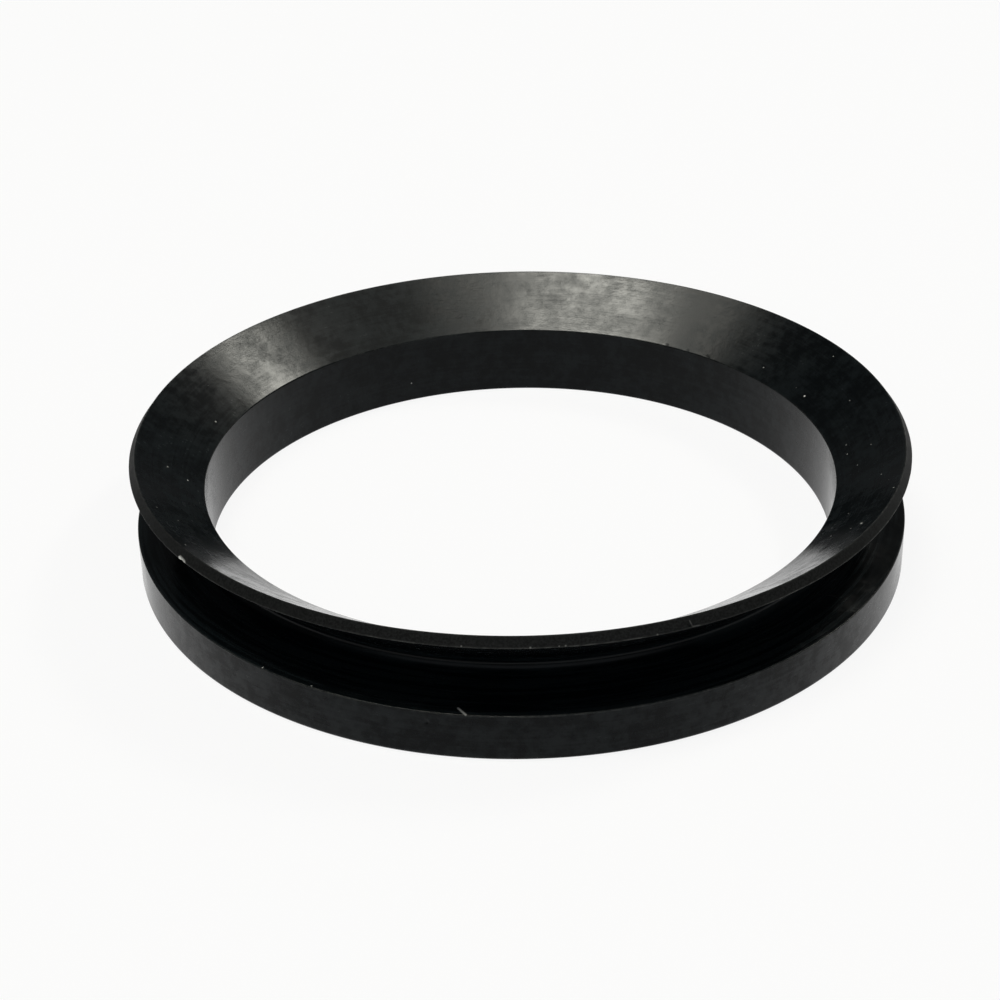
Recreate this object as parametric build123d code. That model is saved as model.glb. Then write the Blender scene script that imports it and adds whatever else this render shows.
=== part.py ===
from build123d import *

import os
from math import asin, atan2, cos, hypot, radians, sin, tan

# V-ring shaft seal with an axial lip, moulded in one piece of black rubber.
#
# The ring is stretched over a shaft and turns with it. Its body grips the shaft, and its
# conical lip flexes on a thin hinge and runs against a flat face square to the shaft.
#
# Frame: millimetres, +Z along the shaft, from the flat back towards the lip. The origin is
# the centre of the back, on which the free ring stands.

# Driving dimensions of the free, unstretched ring, in millimetres and degrees.
BORE_DIAMETER = 45.0  # stretched over a shaft of 48 to 53
SECTION_DEPTH = 5.0  # radial, from the bore to the body's outside at the back
BODY_LENGTH = 5.4  # from the back to the edge where the bore meets the lip's cone
SHOULDER_HEIGHT = 3.25  # from the back to the outer edge of the body's sloping shoulder
BODY_DRAFT = 1.5  # lean of the body's outside, so that it leaves the mould
OVERALL_WIDTH = 8.8  # from the back to the lip's sealing edge
LIP_ANGLE = 37.0  # slope of the lip's cone, measured from the back
LIP_TIP_THICKNESS = 0.77  # the lip's end face, cut square to its cone
HINGE_SETBACK = 1.4  # radial, from the bore to the bottom of the groove
HINGE_THICKNESS = 1.05  # between the round bottom of the groove and the lip's cone
GROOVE_ROOT_RADIUS = 0.8
BACK_OUTER_RADIUS = 0.25
BACK_BORE_RADIUS = 0.2
SHARP = 0.0  # an edge where the mould's parts meet, or where the lip is trimmed

BORE_RADIUS = BORE_DIAMETER / 2
BODY_RADIUS = BORE_RADIUS + SECTION_DEPTH
LIP_SLOPE = radians(LIP_ANGLE)


def cone_height(radius):
    """Height above the back of the lip's inner cone, at a radius from the shaft's axis."""
    return BODY_LENGTH + (radius - BORE_RADIUS) * tan(LIP_SLOPE)


def shoulder_edge():
    """The outer edge of the shoulder, at the top of the body's outside (radius, height)."""
    return BODY_RADIUS - SHOULDER_HEIGHT * tan(radians(BODY_DRAFT)), SHOULDER_HEIGHT


def sealing_edge():
    """The lip's edge that runs against the flat face (radius, height)."""
    return BORE_RADIUS + (OVERALL_WIDTH - BODY_LENGTH) / tan(LIP_SLOPE), OVERALL_WIDTH


def lip_outer_edge():
    """The other edge of the lip's end face (radius, height)."""
    radius, height = sealing_edge()
    return (
        radius + LIP_TIP_THICKNESS * sin(LIP_SLOPE),
        height - LIP_TIP_THICKNESS * cos(LIP_SLOPE),
    )


def groove_corner():
    """Where the shoulder and the lip's underside would meet, if the groove's root weren't round.

    Both sides of the groove touch the circle of its root, which lies one hinge below the cone.
    """
    middle = BORE_RADIUS + HINGE_SETBACK + GROOVE_ROOT_RADIUS
    level = cone_height(middle) - (HINGE_THICKNESS + GROOVE_ROOT_RADIUS) / cos(LIP_SLOPE)

    def slope_to(point, side):
        """Slope of the line that touches the root's circle and ends at a point above (1) or below (-1) it."""
        out, up = point[0] - middle, (point[1] - level) * side
        return atan2(up, out) - asin(GROOVE_ROOT_RADIUS / hypot(out, up))

    underside, shoulder = slope_to(lip_outer_edge(), 1), slope_to(shoulder_edge(), -1)
    reach = GROOVE_ROOT_RADIUS / sin((underside + shoulder) / 2)
    lean = (underside - shoulder) / 2
    return middle - reach * cos(lean), level - reach * sin(lean)


def section_corners():
    """The section's corners (radius, height) in order, each with its rounding."""
    return [
        ((BORE_RADIUS, 0), BACK_BORE_RADIUS),
        ((BODY_RADIUS, 0), BACK_OUTER_RADIUS),
        (shoulder_edge(), SHARP),
        (groove_corner(), GROOVE_ROOT_RADIUS),
        (lip_outer_edge(), SHARP),
        (sealing_edge(), SHARP),
        ((BORE_RADIUS, BODY_LENGTH), SHARP),
    ]


def seal_ring():
    """The whole ring: its section, with its corners rounded, turned about the shaft's axis."""
    points = [point for point, rounding in section_corners()]
    roundings = [rounding for point, rounding in section_corners()]
    with BuildPart() as ring:
        with BuildSketch(Plane.XZ):
            with BuildLine():
                FilletPolyline(*points, radius=roundings, close=True)
            make_face()
        revolve(axis=Axis.Z)
    return ring.part


os.makedirs("parts", exist_ok=True)
export_step(seal_ring(), "parts/seal_ring.step")
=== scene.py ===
"""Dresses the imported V-ring shaft seal: moulded black rubber, on a pale floor in plain studio light."""

import logging
from dataclasses import dataclass
from enum import Enum, unique
from math import asin, atan2, ceil, cos, hypot, pi, radians, sin, tan
from typing import Iterable, NamedTuple, Optional, Union

import bmesh
import bpy
from mathutils import Matrix, Vector, noise


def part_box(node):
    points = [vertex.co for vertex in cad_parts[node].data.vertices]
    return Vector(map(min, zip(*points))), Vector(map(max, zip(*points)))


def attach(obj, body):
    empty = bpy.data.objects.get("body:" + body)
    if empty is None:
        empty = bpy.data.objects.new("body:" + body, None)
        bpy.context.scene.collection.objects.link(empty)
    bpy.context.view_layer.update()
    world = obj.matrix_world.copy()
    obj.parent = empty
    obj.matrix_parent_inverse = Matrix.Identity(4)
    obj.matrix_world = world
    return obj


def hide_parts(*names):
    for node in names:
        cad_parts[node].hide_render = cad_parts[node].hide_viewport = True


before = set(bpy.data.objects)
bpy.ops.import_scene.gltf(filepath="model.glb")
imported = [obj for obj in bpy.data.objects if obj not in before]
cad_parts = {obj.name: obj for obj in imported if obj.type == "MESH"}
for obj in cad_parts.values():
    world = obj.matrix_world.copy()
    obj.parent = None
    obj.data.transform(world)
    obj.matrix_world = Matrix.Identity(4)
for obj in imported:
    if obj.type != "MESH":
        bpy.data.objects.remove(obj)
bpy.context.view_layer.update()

LOG = logging.getLogger("v_ring_seal")
MM = 0.001  # the ring is modelled in millimetres and brought to metres once, at its end
TOUCH = 1e-3  # points nearer than this, in millimetres, lie together
Colour = tuple[float, float, float]
Point = tuple[float, float, float]
Range = tuple[float, float]
Socket = bpy.types.NodeSocket
Value = Union[Socket, float]
WARM_WHITE: Colour = (1.0, 0.99, 0.90)
COOL_WHITE: Colour = (0.94, 0.99, 1.06)


@unique
class Side(Enum):
    """The turned surfaces of the ring, and the longest step along each, in millimetres."""

    BACK = 1.6
    OUTSIDE = 0.3
    SHOULDER = 0.1375
    UNDERSIDE = 0.6
    END_FACE = 0.2
    CONE = 0.29
    BORE = 0.65


class Corner(NamedTuple):
    """One corner of the ring's section, and the side that starts there."""

    radius: float
    height: float
    rounding: float
    segments: int
    side: Side


class Pattern(NamedTuple):
    """A noise: its features for each millimetre, its octaves, and how strong the fine ones are."""

    scale: float
    octaves: float = 1.0
    roughness: float = 0.55


class Speck(NamedTuple):
    """A grain of dust, a pale mark or a painted glint on the lip's lower edge, with its height where it
    doesn't lie on the cone.
    """

    azimuth: float
    radius: float
    size: float
    strength: float
    height: Optional[float] = None


class Mark(NamedTuple):
    """A pale line on the rubber, from one point to another, each by its angle, radius and height."""

    start: Point
    end: Point
    size: float
    strength: float = 1.0


class Nick(NamedTuple):
    """A small dent or tear in the rubber, and how far it spreads and sinks."""

    azimuth: float
    radius: float
    height: float
    spread: float
    depth: float


class Landmarks(NamedTuple):
    """Where the sides of the ring lie, for the finish to tell them apart.

    The cone rises from its foot at the bore, at a slope, and is trimmed past a reach along it. The
    shoulder's edge is the top of the body's outside.
    """

    bore: float
    foot: float
    slope: float
    reach: float
    shoulder_radius: float
    shoulder_height: float


@dataclass(frozen=True)
class Sides:
    """Masks from 0 to 1 that tell the finish which side of the ring a point is on."""

    trimmed: Socket
    groove: Socket
    outside: Socket
    rubbed: Socket


@dataclass(frozen=True)
class Patterns:
    """The patterns that the finish is mixed from, each from 0 to 1."""

    cloud: Socket
    mottle: Socket
    grain: Socket
    dimples: Socket
    lines: Socket
    scratches: Socket


def on_ring(azimuth: float, radius: float, height: float) -> Vector:
    """Returns the point at an angle from +X in degrees, a radius and a height in millimetres."""
    turn = radians(azimuth)
    return Vector((radius * cos(turn), radius * sin(turn), height))


def faded(distance: float, spread: float) -> float:
    """Eases from 1 at no distance to 0 at the spread and beyond.

    Args:
        distance: How far a point lies from the middle.
        spread: Where the effect ends.

    Returns:
        A share from 0 to 1.
    """
    if distance >= spread:
        return 0.0
    share = 1 - (distance / spread) ** 2
    return share * share


def placed(name: str, data: bpy.types.ID) -> bpy.types.Object:
    """Puts a new object into the scene.

    Args:
        name: What it is called.
        data: Its mesh, lamp or camera.

    Returns:
        The object.
    """
    made = bpy.data.objects.new(name, data)
    bpy.context.scene.collection.objects.link(made)
    return made


class Graph:
    """A small hand for wiring one node tree."""

    def __init__(self, owner: bpy.types.ID, output: str) -> None:
        """Empties the node tree of a material, a lamp or a world, and adds its output.

        Args:
            owner: The material, the lamp or the world.
            output: The type name of its output node.
        """
        owner.use_nodes = True
        self.tree = owner.node_tree
        self.tree.nodes.clear()
        self.surface = self.node(output).inputs["Surface"]

    def node(self, kind: str, **settings: object) -> bpy.types.Node:
        """Adds a node.

        Args:
            kind: The node's type name.
            **settings: Its properties.

        Returns:
            The new node.
        """
        made = self.tree.nodes.new(kind)
        for name, value in settings.items():
            setattr(made, name, value)
        return made

    def join(self, source: Socket, target: Socket) -> None:
        """Links an output to an input."""
        self.tree.links.new(source, target)

    def feed(self, target: Socket, value: object) -> None:
        """Links an output to an input, or sets the input to a plain value.

        Args:
            target: The input.
            value: The output or the plain value.
        """
        if isinstance(value, Socket):
            self.join(value, target)
        else:
            target.default_value = value

    def math(self, operation: str, a: Value, b: Value = 0.0, clamp: bool = False) -> Socket:
        """Adds a Math node.

        Args:
            operation: The sum it does.
            a: Its first value.
            b: Its second value.
            clamp: Whether the answer is kept from 0 to 1.

        Returns:
            Its answer.
        """
        made = self.node("ShaderNodeMath", operation=operation, use_clamp=clamp)
        self.feed(made.inputs[0], a)
        self.feed(made.inputs[1], b)
        return made.outputs[0]

    def spread(self, value: Value, low: float, high: float, to_low: Value, to_high: Value) -> Socket:
        """Maps a range onto another smoothly, and stops at its ends.

        Args:
            value: What is mapped.
            low: The range's lower end.
            high: The range's upper end.
            to_low: The answer at the lower end.
            to_high: The answer at the upper end.

        Returns:
            The mapped value.
        """
        made = self.node("ShaderNodeMapRange", interpolation_type="SMOOTHSTEP")
        for socket, given in zip(made.inputs, (value, low, high, to_low, to_high)):
            self.feed(socket, given)
        return made.outputs["Result"]

    def vector(self, operation: str, a: object, b: object = None, out: str = "Vector") -> Socket:
        """Adds a Vector Math node.

        Args:
            operation: The sum it does.
            a: Its first vector.
            b: Its second vector, or the scale, where it has one.
            out: Which of its answers is wanted.

        Returns:
            That answer.
        """
        made = self.node("ShaderNodeVectorMath", operation=operation)
        self.feed(made.inputs[0], a)
        if b is not None:
            self.feed(made.inputs["Scale" if operation == "SCALE" else 1], b)
        return made.outputs[out]

    def blend(self, parts: Iterable[tuple[Socket, float]]) -> Value:
        """Adds up values, each times its share.

        Args:
            parts: The values with their shares.

        Returns:
            The sum.
        """
        total: Value = 0.0
        for value, share in parts:
            total = self.math("ADD", total, self.math("MULTIPLY", value, share))
        return total

    def all_of(self, mask: Value, *others: Value) -> Value:
        """Multiplies masks, so that the answer is 1 only where each of them is.

        Args:
            mask: The first mask.
            *others: The others.

        Returns:
            The mask that they share.
        """
        for other in others:
            mask = self.math("MULTIPLY", mask, other)
        return mask

    def between(self, value: Value, other: Value, share: Value) -> Socket:
        """Goes from one value to another by a share."""
        way = self.math("SUBTRACT", other, value)
        return self.math("ADD", value, self.math("MULTIPLY", share, way))

    def noise(self, vector: Socket, pattern: Pattern, w: Optional[Socket] = None) -> Socket:
        """Adds a Noise Texture.

        Args:
            vector: Where it is read.
            pattern: What it looks like.
            w: A fourth coordinate, for a pattern that follows the turning.

        Returns:
            The noise, from 0 to 1.
        """
        made = self.node("ShaderNodeTexNoise", noise_dimensions="3D" if w is None else "4D")
        self.join(vector, made.inputs["Vector"])
        if w is not None:
            self.join(w, made.inputs["W"])
        made.inputs["Scale"].default_value = pattern.scale
        made.inputs["Detail"].default_value = pattern.octaves
        made.inputs["Roughness"].default_value = pattern.roughness
        return made.outputs["Fac"]

    def mix(self, share: Value, a: object, b: object) -> Socket:
        """Mixes two colours.

        Args:
            share: How much of the second colour shows.
            a: The first colour.
            b: The second colour.

        Returns:
            The mixed colour.
        """
        made = self.node("ShaderNodeMix", data_type="RGBA")
        self.feed(made.inputs[0], share)
        self.feed(made.inputs[6], a)
        self.feed(made.inputs[7], b)
        return made.outputs[2]


@dataclass(frozen=True)
class BlackRubber:
    """Moulded nitrile rubber: near black, satin, clouded by handling and faintly lined by the mould.

    Lengths are in millimetres. A range gives where a mask or a pattern starts and ends.
    """

    # Colours
    dark: Colour = (0.0007, 0.0016, 0.0021)
    bloom: Colour = (0.0035, 0.0056, 0.0066)
    trimmed: Colour = (0.0080, 0.0087, 0.0088)
    trimmed_dark: Colour = (0.0011, 0.0014, 0.0015)
    # Pale edge colour: partly real wear, partly a painted highlight on the edges
    worn_and_painted_highlight: Colour = (0.058, 0.060, 0.057)
    # Pale colour of dust and scratches, also used for painted glints on the lip's lower edge
    dust_and_painted_glints: Colour = (0.80, 0.80, 0.77)
    # Gloss, and how far each pattern changes its roughness
    specular_level: float = 0.085
    roughness: float = 0.17
    trimmed_roughness: float = 0.62
    dust_and_glint_roughness: float = 0.8
    rubbed_gain: float = 0.05
    cloud_gain: float = 0.06
    mottle_gain: float = 0.045
    line_gain: float = 0.03
    scratch_gain: float = 0.05
    gain_range: Range = (0.3, 0.7)
    # Haze, a thin coat that lies in patches
    haze: float = 0.4
    sheltered_haze: float = 0.12
    outside_shelter: float = 0.35
    haze_patches: float = 0.22
    outside_patches: float = 0.65
    haze_mix: tuple[float, ...] = (0.35, 0.4, 0.25)
    haze_range: Range = (0.42, 0.58)
    haze_roughness: float = 0.38
    haze_ior: float = 1.175
    # Patterns, and how the bloom is mixed from them
    cloud: Pattern = Pattern(0.34, 3.0, 0.6)
    mottle: Pattern = Pattern(1.3, 3.0, 0.62)
    grain: Pattern = Pattern(7.0, 1.0, 0.6)
    dimples: Pattern = Pattern(2.2, 1.0, 0.4)
    lines: Pattern = Pattern(2.0, 3.0, 0.65)
    lines_along: float = 0.05
    lines_across: float = 2.0
    bloom_mix: tuple[float, ...] = (0.35, 0.3, 0.15, 0.2)
    bloom_range: Range = (0.43, 0.57)
    # Relief
    grain_height: float = 0.0035
    grain_strength: float = 0.6
    sheltered_strength: float = 0.05
    dimple_share: float = 1.8
    scratch_share: float = 0.5
    # Hairline scratches: their directions in degrees, their stretch, and the patches they lie in
    hairs: Pattern = Pattern(1.0, 1.0, 0.5)
    hair_turns: tuple[tuple[float, float], ...] = ((25.0, 20.0), (-50.0, 65.0))
    hair_stretch: Point = (0.45, 5.0, 5.0)
    hair_range: Range = (0.58, 0.72)
    hair_patches: Pattern = Pattern(0.22)
    hair_patch_range: Range = (0.4, 0.62)
    # Wear along the edges, partly real and partly a painted highlight
    wear_and_highlight_inset: float = 0.01
    wear_and_highlight_width: Range = (0.04, 0.11)
    wear_and_highlight_patches: Pattern = Pattern(1.6, 3.0, 0.7)
    wear_and_highlight_patch_range: Range = (0.4, 0.65)
    wear_and_highlight_least: float = 0.3
    wear_and_highlight_stretches: Pattern = Pattern(0.12)
    wear_and_highlight_stretch_range: Range = (0.35, 0.6)
    wear_and_highlight_stretch_least: float = 0.35
    # Fine dust
    dust_scale: float = 0.6
    dust_share: float = 0.2
    dust_size: float = 0.035
    dust_strength: float = 0.12
    # How far each side of the ring reaches: along and under the cone, over the shoulder's edge, and
    # outwards from that edge
    trimmed_along: float = 0.04
    trimmed_under: Range = (0.015, 0.05)
    groove_under: Range = (0.3, 0.45)
    groove_over: Range = (-0.07, 0.03)
    groove_out: float = 1.0
    outside_out: Range = (-0.115, -0.015)
    outside_over: float = 0.05
    rubbed_along: Range = (0.1, 0.5)
    rubbed_under: Range = (0.02, 0.06)

    def build(
        self,
        landmarks: Landmarks,
        edges: Iterable[tuple[Corner, float]],
        marks: Iterable[Mark],
    ) -> bpy.types.Material:
        """Mixes the finish.

        Args:
            landmarks: Where the ring's sides lie.
            edges: The section's corners whose edges are painted pale, partly as wear and partly as a
                painted highlight, each with its share.
            marks: The grains of dust, the painted glints on the lip's lower edge and the scratches.

        Returns:
            The finished material.
        """
        material = bpy.data.materials.new("black_rubber")
        graph = Graph(material, "ShaderNodeOutputMaterial")
        shader = graph.node("ShaderNodeBsdfPrincipled")
        graph.join(shader.outputs["BSDF"], graph.surface)
        place = self._place(graph)
        flat, radius, height = self._ring_place(graph, place)
        patterns = self._patterns(graph, place, flat, graph.math("ADD", radius, height))
        sides = self._sides(graph, landmarks, radius, height)
        dust_and_painted_glints = self._dust_and_painted_glints(graph, place, marks)
        wear_and_painted_highlight = self._wear_and_painted_highlight(graph, place, radius, height, edges)
        fields = {
            "Base Color": self._colour(graph, patterns, sides, wear_and_painted_highlight, dust_and_painted_glints),
            "Roughness": self._roughness(graph, patterns, sides, dust_and_painted_glints),
            "Specular IOR Level": self.specular_level,
            "Coat Weight": self._haze(graph, patterns, sides),
            "Coat Roughness": self.haze_roughness,
            "Coat IOR": self.haze_ior,
            "Normal": self._relief(graph, patterns, sides),
        }
        for name, value in fields.items():
            graph.feed(shader.inputs[name], value)
        return material

    @staticmethod
    def _place(graph: Graph) -> Socket:
        """Returns the point on the ring in millimetres."""
        return graph.vector("SCALE", graph.node("ShaderNodeTexCoord").outputs["Object"], 1 / MM)

    @staticmethod
    def _ring_place(graph: Graph, place: Socket) -> tuple[Socket, ...]:
        """Takes a point apart.

        Args:
            graph: The tree that takes the nodes.
            place: The point on the ring in millimetres.

        Returns:
            The point laid on the floor, its distance from the shaft's axis, and its height.
        """
        flat = graph.vector("MULTIPLY", place, (1.0, 1.0, 0.0))
        parts = graph.node("ShaderNodeSeparateXYZ")
        graph.join(place, parts.inputs[0])
        return flat, graph.vector("LENGTH", flat, out="Value"), parts.outputs["Z"]

    def _patterns(self, graph: Graph, place: Socket, flat: Socket, across: Socket) -> Patterns:
        """Draws the patterns.

        The lines run round the ring, so they change quickly across it and slowly along it.

        Args:
            graph: The tree that takes the nodes.
            place: The point on the ring in millimetres.
            flat: The point laid on the floor.
            across: The point's radius and height, added up.

        Returns:
            The patterns.
        """
        slow = graph.vector("SCALE", flat, self.lines_along)
        quick = graph.math("MULTIPLY", across, self.lines_across)
        return Patterns(
            cloud=graph.noise(place, self.cloud),
            mottle=graph.noise(place, self.mottle),
            grain=graph.noise(place, self.grain),
            dimples=graph.noise(place, self.dimples),
            lines=graph.noise(slow, self.lines, w=quick),
            scratches=self._scratches(graph, place),
        )

    def _scratches(self, graph: Graph, place: Socket) -> Socket:
        """Draws hairline scratches, in two directions and in patches.

        Args:
            graph: The tree that takes the nodes.
            place: The point on the ring in millimetres.

        Returns:
            A share that is 1 on a scratch.
        """
        found: Value = 0.0
        for turn, lean in self.hair_turns:
            laid = graph.node("ShaderNodeMapping", vector_type="POINT")
            graph.join(place, laid.inputs["Vector"])
            laid.inputs["Rotation"].default_value = (radians(lean), 0.0, radians(turn))
            laid.inputs["Scale"].default_value = self.hair_stretch
            hair = graph.noise(laid.outputs["Vector"], self.hairs)
            found = graph.math("MAXIMUM", found, graph.spread(hair, *self.hair_range, 0.0, 1.0))
        patch = graph.noise(place, self.hair_patches)
        return graph.all_of(found, graph.spread(patch, *self.hair_patch_range, 0.0, 1.0))

    def _sides(self, graph: Graph, at: Landmarks, radius: Socket, height: Socket) -> Sides:
        """Tells the sides of the ring apart, by how far a point lies along the cone and under it.

        Args:
            graph: The tree that takes the nodes.
            at: Where the ring's sides lie.
            radius: The point's distance from the shaft's axis.
            height: Its height.

        Returns:
            The masks.
        """
        out, up = graph.math("SUBTRACT", radius, at.bore), graph.math("SUBTRACT", height, at.foot)
        along = graph.blend(((out, cos(at.slope)), (up, sin(at.slope))))
        under = graph.blend(((out, sin(at.slope)), (up, -cos(at.slope))))
        past = graph.math("SUBTRACT", radius, at.shoulder_radius)
        over = graph.math("SUBTRACT", height, at.shoulder_height)

        trimmed = graph.all_of(
            graph.spread(along, at.reach - self.trimmed_along, at.reach, 0.0, 1.0),
            graph.spread(under, *self.trimmed_under, 0.0, 1.0),
        )
        groove = graph.all_of(
            graph.spread(under, *self.groove_under, 0.0, 1.0),
            graph.spread(over, *self.groove_over, 0.0, 1.0),
            graph.math("GREATER_THAN", out, self.groove_out),
            graph.math("SUBTRACT", 1.0, trimmed),
        )
        outside = graph.all_of(
            graph.spread(past, *self.outside_out, 0.0, 1.0),
            graph.math("LESS_THAN", over, self.outside_over),
        )
        rubbed = graph.all_of(
            graph.spread(along, *self.rubbed_along, 1.0, 0.0),
            graph.spread(under, *self.rubbed_under, 1.0, 0.0),
        )
        return Sides(trimmed, groove, outside, rubbed)

    def _haze(self, graph: Graph, patterns: Patterns, sides: Sides) -> Socket:
        """Lays a thin haze over the skin, in patches, and less of it where hands don't reach.

        Args:
            graph: The tree that takes the nodes.
            patterns: The patterns that the patches follow.
            sides: The sides of the ring.

        Returns:
            The haze's weight.
        """
        parts = patterns.cloud, patterns.mottle, patterns.lines
        veil = graph.blend(zip(parts, self.haze_mix))
        veil = graph.between(veil, patterns.lines, sides.groove)
        patches = graph.spread(sides.outside, 0.0, 1.0, self.haze_patches, self.outside_patches)
        thin, thick = graph.math("SUBTRACT", 1.0, patches), graph.math("ADD", 1.0, patches)
        outside = graph.math("MULTIPLY", sides.outside, self.outside_shelter)
        clean = graph.math("MAXIMUM", graph.math("MAXIMUM", sides.groove, sides.trimmed), outside)
        weight = graph.spread(clean, 0.0, 1.0, self.haze, self.sheltered_haze)
        return graph.math("MULTIPLY", graph.spread(veil, *self.haze_range, thin, thick), weight)

    def _roughness(self, graph: Graph, patterns: Patterns, sides: Sides, dust_and_painted_glints: Socket) -> Socket:
        """Varies the skin's roughness, and leaves the cut face, the dust and the painted glints dull.

        Args:
            graph: The tree that takes the nodes.
            patterns: The patterns that it follows.
            sides: The sides of the ring.
            dust_and_painted_glints: Where dust, painted glints and scratches lie.

        Returns:
            The roughness.
        """
        rough = graph.spread(sides.trimmed, 0.0, 1.0, self.roughness, self.trimmed_roughness)
        rough = graph.math("SUBTRACT", rough, graph.math("MULTIPLY", sides.rubbed, self.rubbed_gain))
        for pattern, gain in (
            (patterns.cloud, self.cloud_gain),
            (patterns.mottle, self.mottle_gain),
            (patterns.lines, self.line_gain),
        ):
            rough = graph.math("ADD", rough, graph.spread(pattern, *self.gain_range, -gain, gain))
        rough = graph.math("ADD", rough, graph.math("MULTIPLY", patterns.scratches, self.scratch_gain))
        dull = graph.math("MULTIPLY", dust_and_painted_glints, self.dust_and_glint_roughness)
        return graph.math("MAXIMUM", rough, dull, clamp=True)

    def _colour(
        self, graph: Graph, patterns: Patterns, sides: Sides, wear_and_painted_highlight: Socket, dust_and_painted_glints: Socket
    ) -> Socket:
        """Mixes the rubber's colour, from its black skin and the cut face to wear with a painted edge
        highlight, and to dust with painted glints.

        Args:
            graph: The tree that takes the nodes.
            patterns: The patterns that it follows.
            sides: The sides of the ring.
            wear_and_painted_highlight: Where the edges are painted pale, as wear and as a painted
                highlight.
            dust_and_painted_glints: Where dust, painted glints and scratches lie.

        Returns:
            The colour.
        """
        parts = patterns.cloud, patterns.mottle, patterns.grain, patterns.lines
        pale = graph.between(graph.blend(zip(parts, self.bloom_mix)), patterns.lines, sides.groove)
        pale = graph.spread(pale, *self.bloom_range, 0.0, 1.0)
        skin = graph.mix(pale, (*self.dark, 1.0), (*self.bloom, 1.0))
        sawn = graph.spread(patterns.grain, *self.gain_range, 0.0, 1.0)
        cut = graph.mix(sawn, (*self.trimmed_dark, 1.0), (*self.trimmed, 1.0))
        body = graph.mix(sides.trimmed, skin, cut)
        # Pale edges: real wear and a painted highlight, in one colour
        body = graph.mix(wear_and_painted_highlight, body, (*self.worn_and_painted_highlight, 1.0))
        # Dust and scratches, with painted glints on the lip's lower edge
        return graph.mix(dust_and_painted_glints, body, (*self.dust_and_painted_glints, 1.0))

    def _relief(self, graph: Graph, patterns: Patterns, sides: Sides) -> Socket:
        """Bends the surface by the grain, the lines, shallow dimples and the scratches.

        Args:
            graph: The tree that takes the nodes.
            patterns: The patterns that it follows.
            sides: The sides of the ring.

        Returns:
            The surface's normal.
        """
        relief = graph.math("ADD", patterns.grain, patterns.lines)
        dimples = graph.math("MULTIPLY", patterns.dimples, self.dimple_share)
        scratches = graph.math("MULTIPLY", patterns.scratches, self.scratch_share)
        relief = graph.math("SUBTRACT", graph.math("ADD", relief, dimples), scratches)
        bump = graph.node("ShaderNodeBump")
        strength = graph.spread(sides.groove, 0.0, 1.0, self.grain_strength, self.sheltered_strength)
        graph.join(strength, bump.inputs["Strength"])
        bump.inputs["Distance"].default_value = self.grain_height * MM
        graph.join(relief, bump.inputs["Height"])
        return bump.outputs["Normal"]

    def _wear_and_painted_highlight(
        self,
        graph: Graph,
        place: Socket,
        radius: Socket,
        height: Socket,
        edges: Iterable[tuple[Corner, float]],
    ) -> Socket:
        """Paints the ring's edges pale, as wear and as a painted highlight, more in some places than in
        others.

        Args:
            graph: The tree that takes the nodes.
            place: The point on the ring in millimetres.
            radius: Its distance from the shaft's axis.
            height: Its height.
            edges: The corners, each with its share of pale paint.

        Returns:
            The share of pale paint, from 0 to 1.
        """
        found: Value = 0.0
        for corner, wear_and_painted_highlight in edges:
            out, up = (
                graph.math("POWER", graph.math("SUBTRACT", value, middle - self.wear_and_highlight_inset), 2.0)
                for value, middle in ((radius, corner.radius), (height, corner.height))
            )
            distance = graph.math("SQRT", graph.math("ADD", out, up))
            found = graph.math("MAXIMUM", found, graph.spread(distance, *self.wear_and_highlight_width, wear_and_painted_highlight, 0.0))
        patch = graph.noise(place, self.wear_and_highlight_patches)
        stretch = graph.noise(place, self.wear_and_highlight_stretches)
        return graph.all_of(
            found,
            graph.spread(patch, *self.wear_and_highlight_patch_range, self.wear_and_highlight_least, 1.0),
            graph.spread(stretch, *self.wear_and_highlight_stretch_range, self.wear_and_highlight_stretch_least, 1.0),
        )

    def _dust_and_painted_glints(self, graph: Graph, place: Socket, marks: Iterable[Mark]) -> Socket:
        """Scatters fine dust, and lays the larger grains, the painted glints and the scratches.

        Args:
            graph: The tree that takes the nodes.
            place: The point on the ring in millimetres.
            marks: The larger grains, the painted glints and the scratches.

        Returns:
            A share that is 1 on a grain, a painted glint or a scratch, and 0 elsewhere.
        """
        cells = graph.node("ShaderNodeTexVoronoi", feature="F1")
        graph.join(place, cells.inputs["Vector"])
        cells.inputs["Scale"].default_value = self.dust_scale
        chance = graph.node("ShaderNodeSeparateColor")
        graph.join(cells.outputs["Color"], chance.inputs[0])
        kept = graph.math("GREATER_THAN", chance.outputs[0], 1.0 - self.dust_share)
        size = graph.math("MULTIPLY", chance.outputs[1], self.dust_size)
        near = graph.math("LESS_THAN", cells.outputs["Distance"], size)
        found = graph.math("MULTIPLY", graph.all_of(kept, near), self.dust_strength)
        for mark in marks:
            away = graph.vector("DISTANCE", place, self._nearest(graph, place, mark), "Value")
            shown = graph.spread(away, 0.0, mark.size, mark.strength, 0.0)
            found = graph.math("MAXIMUM", found, shown)
        return found

    @staticmethod
    def _nearest(graph: Graph, place: Socket, mark: Mark) -> Union[Socket, Vector]:
        """Finds the point of a mark's line that is nearest to a point on the ring.

        Args:
            graph: The tree that takes the nodes.
            place: The point on the ring in millimetres.
            mark: The mark, whose line may have no length.

        Returns:
            The nearest point.
        """
        start = on_ring(*mark.start)
        line = on_ring(*mark.end) - start
        if not line.length:
            return start
        step = line / line.length_squared
        share = graph.vector("DOT_PRODUCT", place, step, "Value")
        share = graph.math("SUBTRACT", share, start.dot(step), clamp=True)
        nearest = graph.node("ShaderNodeVectorMath", operation="MULTIPLY_ADD")
        for socket, given in zip(nearest.inputs, (share, line, start)):
            graph.feed(socket, given)
        return nearest.outputs[0]


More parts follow.
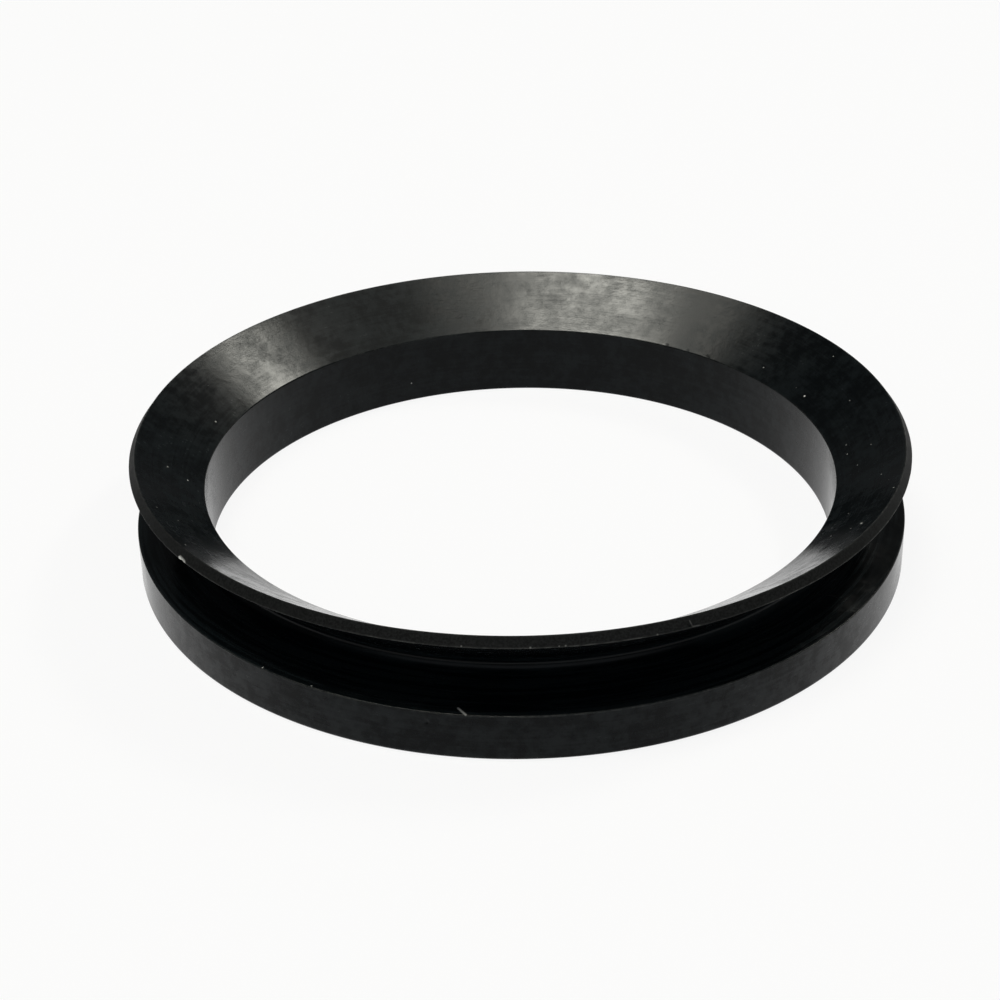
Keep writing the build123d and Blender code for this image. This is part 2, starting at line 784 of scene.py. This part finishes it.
@dataclass
class SealRing:
    """The seal: a body that grips the shaft, a V groove and a conical lip, moulded in one.

    Lengths are in millimetres and angles in degrees. Scales count a noise's features for each
    millimetre.
    """

    bore_diameter: float = 45.0
    section_depth: float = 5.0
    body_length: float = 5.4
    shoulder_height: float = 3.25
    body_draft: float = 1.5
    overall_width: float = 8.8
    lip_angle: float = 37.0
    lip_tip_thickness: float = 0.77
    hinge_setback: float = 1.4
    hinge_thickness: float = 1.05
    groove_root_rounding: float = 0.8
    back_outer_rounding: float = 0.25
    back_bore_rounding: float = 0.2
    shoulder_rounding: float = 0.05
    cone_edge_rounding: float = 0.12
    lip_edge_rounding: float = 0.06
    sealing_rounding: float = 0.02
    trim_allowance: float = 0.035
    # How finely the skin is divided: beside the roundings, round the ring and at the nicks
    hold: float = 0.03
    steps: int = 720
    wedges: int = 12
    nick_margin: float = 0.12
    nick_cuts: int = 3
    # The lip's lean and sink, and the knife's ripple at its outer edge
    sway: float = 0.015
    lean_scale: float = 0.045
    lean_offset: Point = (3.1, 0.7, 0.0)
    sink_scale: float = 0.06
    sink_offset: float = 9.0
    ripple: float = 0.008
    ripple_mean: float = 0.6
    ripple_width: float = 0.9
    ripple_height: float = 8.5
    ripple_rise: float = 0.7
    ripple_scales: tuple[float, float] = (0.9, 2.3)
    # The turned marks on the shoulder
    mark_start: float = 25.5
    mark_end: float = 27.1
    mark_edge: float = 25.6
    mark_rise: float = 0.8
    mark_pitch: float = 0.275
    mark_depth: float = 0.008
    mark_evenness: float = 0.6
    mark_scale: float = 0.08
    # How pale each side's first edge is painted: partly wear, partly a painted highlight
    wear_and_painted_highlight: tuple[tuple[Side, float], ...] = (
        (Side.SHOULDER, 0.5),
        (Side.END_FACE, 0.9),
        (Side.CONE, 0.6),
        (Side.BORE, 0.3),
    )
    nicks: tuple[Nick, ...] = (
        Nick(-102.96, 27.43, 2.50, 0.20, 0.07),
        Nick(-142.0, 27.50, 8.17, 0.30, 0.06),
        Nick(-147.7, 27.47, 8.19, 0.22, 0.04),
        Nick(-152.9, 27.47, 8.19, 0.20, 0.04),
        Nick(-69.6, 27.40, 8.28, 0.22, 0.05),
        Nick(47.0, 22.52, 5.40, 0.36, 0.012),
        Nick(52.0, 22.52, 5.40, 0.30, 0.014),
        Nick(56.9, 22.52, 5.40, 0.34, 0.010),
    )
    specks_and_painted_glints: tuple[Speck, ...] = (
        Speck(-32.5, 25.9, 0.14, 0.9),
        Speck(20.5, 23.3, 0.13, 0.9),
        Speck(-23.0, 26.7, 0.08, 0.6),
        Speck(-33.0, 25.3, 0.08, 0.6),
        Speck(-33.0, 24.0, 0.07, 0.6),
        Speck(-25.5, 24.1, 0.07, 0.6),
        Speck(-16.0, 25.5, 0.07, 0.5),
        Speck(-8.5, 23.9, 0.07, 0.5),
        Speck(-3.0, 23.4, 0.08, 0.6),
        Speck(-4.5, 24.9, 0.07, 0.5),
        Speck(0.0, 23.5, 0.08, 0.6),
        Speck(11.0, 25.0, 0.07, 0.5),
        Speck(23.0, 26.3, 0.07, 0.6),
        Speck(34.0, 23.4, 0.08, 0.6),
        Speck(165.0, 23.4, 0.10, 0.7),
        Speck(-173.5, 24.9, 0.09, 0.7),
        Speck(-172.5, 23.6, 0.09, 0.7),
        Speck(-157.0, 26.3, 0.07, 0.6),
        Speck(-155.0, 25.2, 0.07, 0.6),
        Speck(-144.5, 26.5, 0.08, 0.6),
        Speck(112.5, 22.5, 0.09, 0.6, 1.6),
        Speck(-127.0, 27.3, 0.08, 0.8, 3.25),
        Speck(-119.0, 27.3, 0.07, 0.4, 3.27),
        # The five specks below, on the lip's lower edge, are painted glints
        Speck(-98.2, 27.42, 0.09, 0.16, 8.25),
        Speck(-89.8, 27.44, 0.10, 0.20, 8.23),
        Speck(-86.3, 27.43, 0.08, 0.14, 8.25),
        Speck(-85.5, 27.43, 0.09, 0.16, 8.25),
        Speck(-74.0, 27.45, 0.09, 0.16, 8.22),
    )
    scratches: tuple[Mark, ...] = (
        Mark((-142.6, 27.47, 8.22), (-141.5, 27.51, 8.18), 0.26),
        Mark((-99.1, 26.92, 3.39), (-98.0, 27.36, 3.27), 0.11, 0.34),
        Mark((-69.5, 27.20, 8.54), (-69.3, 27.43, 8.25), 0.07, 0.07),
        Mark((-69.3, 27.43, 8.25), (-68.3, 27.45, 8.22), 0.07, 0.07),
    )

    def _cone_height(self, radius: float) -> float:
        """Returns the height of the lip's inner cone at a radius."""
        return self.body_length + (radius - self.bore_diameter / 2) * tan(radians(self.lip_angle))

    def _groove(self, shoulder: float, tip: float, tip_height: float) -> tuple[float, float]:
        """Finds where the groove's two sides would meet, if its root weren't round.

        Args:
            shoulder: Radius of the shoulder's outer edge.
            tip: Radius of the lip's outer edge.
            tip_height: Height of the lip's outer edge.

        Returns:
            The radius and the height of that corner.
        """
        rounding = self.groove_root_rounding
        middle = self.bore_diameter / 2 + self.hinge_setback + rounding
        level = self._cone_height(middle)
        level -= (self.hinge_thickness + rounding) / cos(radians(self.lip_angle))
        underside, top = (
            atan2(up, out) - asin(rounding / hypot(out, up))
            for out, up in (
                (tip - middle, tip_height - level),
                (shoulder - middle, level - self.shoulder_height),
            )
        )
        reach = rounding / sin((underside + top) / 2)
        lean = (underside - top) / 2
        return middle - reach * cos(lean), level - reach * sin(lean)

    def _corners(self) -> list[Corner]:
        """Works out the section's corners.

        Returns:
            The corners in order, from the bore's lower end, outwards and up.
        """
        bore = self.bore_diameter / 2
        outer = bore + self.section_depth
        slope = radians(self.lip_angle)
        shoulder = outer - self.shoulder_height * tan(radians(self.body_draft))
        sealing = bore + (self.overall_width - self.body_length) / tan(slope)
        tip = sealing + self.lip_tip_thickness * sin(slope)
        tip_height = self.overall_width - self.lip_tip_thickness * cos(slope)
        root, root_height = self._groove(shoulder, tip, tip_height)
        return [
            Corner(bore, 0.0, self.back_bore_rounding, 4, Side.BACK),
            Corner(outer, 0.0, self.back_outer_rounding, 6, Side.OUTSIDE),
            Corner(shoulder, self.shoulder_height, self.shoulder_rounding, 4, Side.SHOULDER),
            Corner(root, root_height, self.groove_root_rounding, 9, Side.UNDERSIDE),
            Corner(tip, tip_height, self.lip_edge_rounding, 3, Side.END_FACE),
            Corner(sealing, self.overall_width, self.sealing_rounding, 2, Side.CONE),
            Corner(bore, self.body_length, self.cone_edge_rounding, 4, Side.BORE),
        ]

    def _start_of(self, side: Side) -> Corner:
        """Returns the corner where a side starts."""
        return next(corner for corner in self._corners() if corner.side is side)

    def _section(self, mesh: bmesh.types.BMesh) -> None:
        """Draws the section's outline, with its corners rounded and its sides divided.

        Args:
            mesh: The mesh that takes the outline.
        """
        corners = self._corners()
        points = [Vector((corner.radius, 0.0, corner.height)) for corner in corners]
        verts = [mesh.verts.new(point) for point in points]
        mesh.faces.new(verts)
        for index, corner in enumerate(corners):
            vert = min(mesh.verts, key=lambda v: (v.co - points[index]).length)
            before = points[index - 1] - points[index]
            after = points[(index + 1) % len(points)] - points[index]
            setback = corner.rounding / tan(before.angle(after) / 2)
            bmesh.ops.bevel(
                mesh,
                geom=[vert],
                offset=setback,
                segments=corner.segments,
                profile=0.5,
                affect="VERTICES",
            )
        for index, corner in enumerate(corners):
            start, end = points[index], points[(index + 1) % len(points)]
            edge = self._longest_between(mesh, start, end)
            for vert in tuple(edge.verts):
                bmesh.utils.edge_split(edge, vert, self.hold / edge.calc_length())
                edge = self._longest_between(mesh, start, end)
            cuts = ceil(edge.calc_length() / corner.side.value) - 1
            if cuts:
                bmesh.ops.subdivide_edges(mesh, edges=[edge], cuts=cuts)
        bmesh.ops.delete(mesh, geom=list(mesh.faces), context="FACES_ONLY")

    def _longest_between(
        self, mesh: bmesh.types.BMesh, start: Vector, end: Vector
    ) -> bmesh.types.BMEdge:
        """Returns the longest edge that lies on the line between two corners."""
        edges = (edge for edge in mesh.edges if self._lies_between(edge, start, end))
        return max(edges, key=lambda edge: edge.calc_length())

    @staticmethod
    def _lies_between(edge: bmesh.types.BMEdge, start: Vector, end: Vector) -> bool:
        """Finds whether both ends of an edge lie on the line between two corners.

        Args:
            edge: The edge.
            start: One corner.
            end: The other corner.

        Returns:
            Whether they do.
        """
        along = (end - start).normalized()
        away = (vert.co - start for vert in edge.verts)
        return all((part - along * part.dot(along)).length < TOUCH for part in away)

    def _turn(self, mesh: bmesh.types.BMesh) -> None:
        """Turns the outline into one wedge, and repeats the wedge round the shaft's axis.

        Args:
            mesh: The mesh that holds the outline.
        """
        about = {"cent": (0.0, 0.0, 0.0), "axis": (0.0, 0.0, 1.0)}
        outline = list(mesh.verts) + list(mesh.edges)
        share = 2 * pi / self.wedges
        steps = self.steps // self.wedges
        bmesh.ops.spin(mesh, geom=outline, angle=share, steps=steps, **about)
        wedge = list(mesh.verts) + list(mesh.edges) + list(mesh.faces)
        rest, others = 2 * pi - share, self.wedges - 1
        bmesh.ops.spin(mesh, geom=wedge, angle=rest, steps=others, use_duplicate=True, **about)
        bmesh.ops.remove_doubles(mesh, verts=list(mesh.verts), dist=TOUCH)

    def _refine(self, mesh: bmesh.types.BMesh) -> None:
        """Divides the skin finely where a nick will be.

        Args:
            mesh: The mesh that holds the ring.
        """
        for nick in self.nicks:
            middle = on_ring(nick.azimuth, nick.radius, nick.height)
            reach = nick.spread + self.nick_margin
            close = [
                edge for edge in mesh.edges if all((v.co - middle).length < reach for v in edge.verts)
            ]
            bmesh.ops.subdivide_edges(mesh, edges=close, cuts=self.nick_cuts, use_grid_fill=True)

    def _age(self, mesh: bmesh.types.BMesh) -> None:
        """Gives the turned shape its small unevenness: sway, ripple, mould marks and nicks.

        Args:
            mesh: The mesh that holds the ring.
        """
        nicks = [(nick, on_ring(nick.azimuth, nick.radius, nick.height)) for nick in self.nicks]
        tip = self._start_of(Side.END_FACE).radius
        for vert in mesh.verts:
            point, normal = vert.co.copy(), vert.normal.copy()
            radius = hypot(point.x, point.y)
            inwards = self._mould_marks(point, radius) + self._ripple(point, radius - tip)
            for nick, middle in nicks:
                inwards += nick.depth * faded((point - middle).length, nick.spread)
            vert.co = point - normal * inwards - self._sway(point, radius)

    def _sway(self, point: Vector, radius: float) -> Vector:
        """Returns how far the soft ring leans in and sinks at a point, which grows towards the lip.

        Args:
            point: The point on the skin.
            radius: Its distance from the shaft's axis.

        Returns:
            The shift.
        """
        above = max(0.0, point.z - self.shoulder_height)
        share = self.sway * above / (self.overall_width - self.shoulder_height)
        flat = Vector((point.x, point.y, 0.0))
        lean = noise.noise(flat * self.lean_scale + Vector(self.lean_offset))
        sink = noise.noise(Vector((point.x, point.y, self.sink_offset)) * self.sink_scale)
        outwards = Vector((point.x / radius, point.y / radius, 0.0))
        return share * (outwards * (1.0 + lean) + Vector((0.0, 0.0, 1.0 + sink))) / 2

    def _ripple(self, point: Vector, past_tip: float) -> float:
        """Returns how far the knife left the lip's outer edge uneven at a point.

        Args:
            point: The point on the skin.
            past_tip: How far it lies outside the lip's outer edge.

        Returns:
            The depth in millimetres.
        """
        near = faded(abs(past_tip), self.ripple_width)
        near *= faded(abs(point.z - self.ripple_height), self.ripple_rise)
        coarse, fine = (noise.noise(point * scale) for scale in self.ripple_scales)
        return self.ripple * near * (self.ripple_mean + coarse + fine / 2)

    def _mould_marks(self, point: Vector, radius: float) -> float:
        """Returns the depth of the turned marks on the shoulder at a point.

        Args:
            point: The point on the skin.
            radius: Its distance from the shaft's axis.

        Returns:
            The depth in millimetres.
        """
        on_shoulder = 0.0 <= point.z - self.shoulder_height <= self.mark_rise
        if not on_shoulder or not self.mark_start < radius < self.mark_end:
            return 0.0
        drift = noise.noise(Vector((point.x, point.y, 0.0)) * self.mark_scale)
        strength = self.mark_evenness + (1.0 - self.mark_evenness) * drift
        turns = (radius - self.mark_edge) / self.mark_pitch
        return self.mark_depth * strength * (1.0 - cos(2 * pi * turns)) / 2

    def _marks(self) -> list[Mark]:
        """Adds the grains of dust and the painted glints to the scratches, as lines without length.

        Returns:
            All the marks.
        """
        found = list(self.scratches)
        for speck in self.specks_and_painted_glints:
            place = speck.azimuth, speck.radius, speck.height or self._cone_height(speck.radius)
            found.append(Mark(place, place, speck.size, speck.strength))
        return found

    def _landmarks(self) -> Landmarks:
        """Works out where the ring's sides lie.

        Returns:
            Their places, as the finish takes them.
        """
        foot, sealing = self._start_of(Side.BORE), self._start_of(Side.CONE)
        shoulder = self._start_of(Side.SHOULDER)
        cone = hypot(sealing.radius - foot.radius, sealing.height - foot.height)
        return Landmarks(
            bore=foot.radius,
            foot=foot.height,
            slope=radians(self.lip_angle),
            reach=cone - self.trim_allowance,
            shoulder_radius=shoulder.radius,
            shoulder_height=shoulder.height,
        )

    def build(self, finish: BlackRubber) -> bpy.types.Object:
        """Turns the section into the ring, ages it and dresses it.

        Args:
            finish: The rubber's finish.

        Returns:
            The finished ring.
        """
        mesh = bmesh.new()
        self._section(mesh)
        self._turn(mesh)
        bmesh.ops.recalc_face_normals(mesh, faces=list(mesh.faces))
        self._refine(mesh)
        mesh.normal_update()
        self._age(mesh)
        bmesh.ops.scale(mesh, vec=(MM, MM, MM), verts=list(mesh.verts))
        for face in mesh.faces:
            face.smooth = True
        data = bpy.data.meshes.new("rubber_ring")
        mesh.to_mesh(data)
        mesh.free()
        ring = placed("rubber_ring", data)
        # Edges painted pale, as wear and as a painted highlight
        worn_and_painted_highlight = [(self._start_of(side), wear_and_painted_highlight) for side, wear_and_painted_highlight in self.wear_and_painted_highlight]
        data.materials.append(finish.build(self._landmarks(), worn_and_painted_highlight, self._marks()))
        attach(ring, "root")
        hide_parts("seal_ring")
        return ring


@dataclass(frozen=True)
class Softbox:
    """One soft lamp, placed round the ring by the direction that it shines from.

    Angles are in degrees, with the azimuth counted clockwise from the back, and lengths are in
    metres. The fade is the share of each half that eases off towards the lamp's edge.
    """

    name: str
    azimuth: float
    elevation: float
    distance: float
    width: float
    depth: float
    radiance: float
    turn: float = 0.0
    fade: float = 0.6
    colour: Colour = WARM_WHITE
    gloss_only: bool = False

    def build(self, target: Vector) -> bpy.types.Object:
        """Hangs the lamp.

        Args:
            target: What it points at, in metres.

        Returns:
            The lamp.
        """
        lamp = bpy.data.lights.new(self.name, "AREA")
        lamp.shape = "RECTANGLE"
        lamp.size = self.width
        lamp.size_y = self.depth
        lamp.energy = self.radiance * pi * self.width * self.depth
        lamp.color = self.colour
        self._soften(lamp)
        box = placed(self.name, lamp)
        box.visible_diffuse = not self.gloss_only
        side, up = radians(self.azimuth), radians(self.elevation)
        away = Vector((sin(side) * cos(up), cos(side) * cos(up), sin(up)))
        level = Vector((cos(radians(self.turn)), sin(radians(self.turn)), 0.0))
        level = (level - away * level.dot(away)).normalized()
        aim = Matrix((level, away.cross(level), away)).transposed().to_4x4()
        box.matrix_world = Matrix.Translation(target + away * self.distance) @ aim
        return box

    def _soften(self, lamp: bpy.types.Light) -> None:
        """Fades the lamp towards its four edges.

        Args:
            lamp: The lamp that takes the fade.
        """
        graph = Graph(lamp, "ShaderNodeOutputLight")
        across = graph.node("ShaderNodeSeparateXYZ")
        graph.join(graph.node("ShaderNodeNewGeometry").outputs["Parametric"], across.inputs[0])
        strength: Value = 1.0
        for value in across.outputs[:2]:
            out = graph.math("ABSOLUTE", graph.math("SUBTRACT", value, 0.5))
            out = graph.math("MULTIPLY", out, 2.0)
            faded_out = graph.spread(out, 1.0 - self.fade, 1.0, 1.0, 0.0)
            strength = graph.all_of(strength, faded_out)
        light = graph.node("ShaderNodeEmission")
        graph.join(strength, light.inputs["Strength"])
        graph.join(light.outputs[0], graph.surface)


@dataclass
class Studio:
    """The pale floor, the lamps and the dim room round them."""

    floor_colour: Colour = (0.86, 0.86, 0.86)
    floor_half: float = 3.0
    evenness: float = 0.88
    room: Colour = (0.100, 0.102, 0.103)
    softboxes: tuple[Softbox, ...] = (
        Softbox("strip_overhead", -105.0, 78.6, 0.9, 0.74, 0.13, 56.0, turn=-21.0, fade=1.0),
        Softbox("glow_overhead", -105.0, 80.0, 0.9, 0.95, 0.14, 14.0, gloss_only=True),
        Softbox("glow_left", -74.4, 63.6, 0.95, 0.44, 0.16, 7.5, turn=-47.0, gloss_only=True),
        Softbox("glow_ceiling", 0.0, 89.0, 1.0, 2.6, 0.85, 1.4, fade=0.3, gloss_only=True),
        Softbox("strip_right_back", 54.8, 46.0, 0.9, 0.42, 0.16, 41.0, turn=67.0, fade=1.0),
        Softbox("glow_right_back", 46.0, 27.0, 1.0, 0.44, 0.44, 0.9, fade=0.9, gloss_only=True),
        Softbox("fill_front", 180.0, 32.0, 1.1, 2.6, 1.0, 0.60, colour=COOL_WHITE),
    )

    def build(self, target: Vector) -> None:
        """Lays the floor, hangs the lamps and lights the room.

        Args:
            target: What the lamps point at, in metres.
        """
        self._floor()
        for softbox in self.softboxes:
            softbox.build(target)
        world = bpy.data.worlds.new("room")
        graph = Graph(world, "ShaderNodeOutputWorld")
        light = graph.node("ShaderNodeBackground")
        light.inputs["Color"].default_value = (*self.room, 1.0)
        graph.join(light.outputs[0], graph.surface)
        bpy.context.scene.world = world

    def _floor(self) -> None:
        """Lays a plain pale floor that shows white and keeps the ring's shadow."""
        mesh = bmesh.new()
        bmesh.ops.create_grid(mesh, x_segments=1, y_segments=1, size=self.floor_half)
        data = bpy.data.meshes.new("floor")
        mesh.to_mesh(data)
        mesh.free()
        floor = placed("floor", data)
        material = bpy.data.materials.new("pale_floor")
        graph = Graph(material, "ShaderNodeOutputMaterial")
        matt = graph.node("ShaderNodeBsdfDiffuse")
        matt.inputs["Color"].default_value = (*self.floor_colour, 1.0)
        white = graph.node("ShaderNodeEmission")
        rays = graph.node("ShaderNodeLightPath")
        seen: Value = 0.0
        for ray in ("Is Camera Ray", "Is Glossy Ray", "Is Transmission Ray"):
            seen = graph.math("MAXIMUM", seen, rays.outputs[ray])
        blend = graph.node("ShaderNodeMixShader")
        graph.join(graph.math("MULTIPLY", seen, self.evenness), blend.inputs[0])
        graph.join(matt.outputs[0], blend.inputs[1])
        graph.join(white.outputs[0], blend.inputs[2])
        graph.join(blend.outputs[0], graph.surface)
        data.materials.append(material)


@dataclass(frozen=True)
class Viewpoint:
    """The camera: a short tele lens that looks down at the ring from the front."""

    place: Point = (-0.001465, -0.112104, 0.067374)
    elevation: float = 30.157
    roll: float = -1.326
    lens: float = 63.94

    def build(self) -> bpy.types.Object:
        """Sets up the camera as the scene's own.

        Returns:
            The camera.
        """
        camera = bpy.data.cameras.new("camera")
        camera.sensor_width = 36.0
        camera.lens = self.lens
        camera.clip_start = 0.005
        camera.clip_end = 50.0
        stand = placed("camera", camera)
        tilt = Matrix.Rotation(radians(90.0 - self.elevation), 4, "X")
        roll = Matrix.Rotation(radians(self.roll), 4, "Z")
        stand.matrix_world = Matrix.Translation(self.place) @ tilt @ roll
        bpy.context.scene.camera = stand
        return stand


def report(piece: bpy.types.Object) -> None:
    """Logs a piece's name and size."""
    size = tuple(round(length, 5) for length in piece.dimensions)
    LOG.info("%s: %d faces, %s m", piece.name, len(piece.data.polygons), size)


def main() -> None:
    """Builds the seal, the studio and the camera, in order."""
    logging.basicConfig(level=logging.INFO, format="%(name)s: %(message)s")
    bpy.context.scene.view_settings.view_transform = "Standard"
    low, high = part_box("seal_ring")
    Viewpoint().build()
    ring = SealRing().build(BlackRubber())
    report(ring)
    Studio().build((low + high) / 2)


if __name__ == "__main__":
    main()
